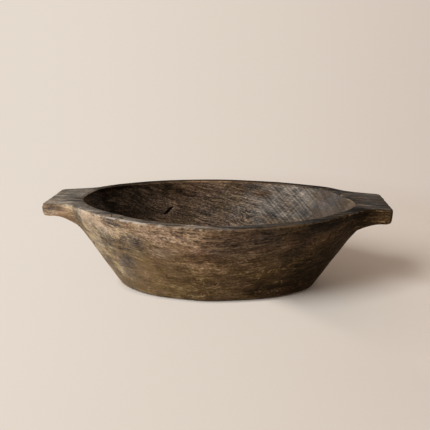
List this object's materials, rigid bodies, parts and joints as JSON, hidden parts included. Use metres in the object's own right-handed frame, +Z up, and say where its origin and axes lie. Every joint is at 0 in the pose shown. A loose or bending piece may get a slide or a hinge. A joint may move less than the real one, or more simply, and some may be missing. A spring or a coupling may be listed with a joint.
{
  "type": "decorative wooden bowl",
  "caption": "Oval hand-carved wooden dough bowl with a flat grip at each end, sloping walls, a deep hollow and a dark weathered finish, standing on felt pads.",
  "frame": {"origin": "on the ground under the middle of the base", "axes": "+X along the bowl from grip to grip, +Y across it to the back, +Z up"},
  "size_m": [0.508, 0.2938, 0.136],
  "materials": {
    "weathered_wood": "dark brown stain over carved wood, worn to tan on the edges, with grey and olive patches",
    "felt": "dense brown wool felt"
  },
  "bodies": {
    "root": {"bowl_body": "weathered_wood", "felt_pad_front_left": "felt", "felt_pad_front_right": "felt", "felt_pad_back_left": "felt", "felt_pad_back_right": "felt"}
  },
  "joints": []
}
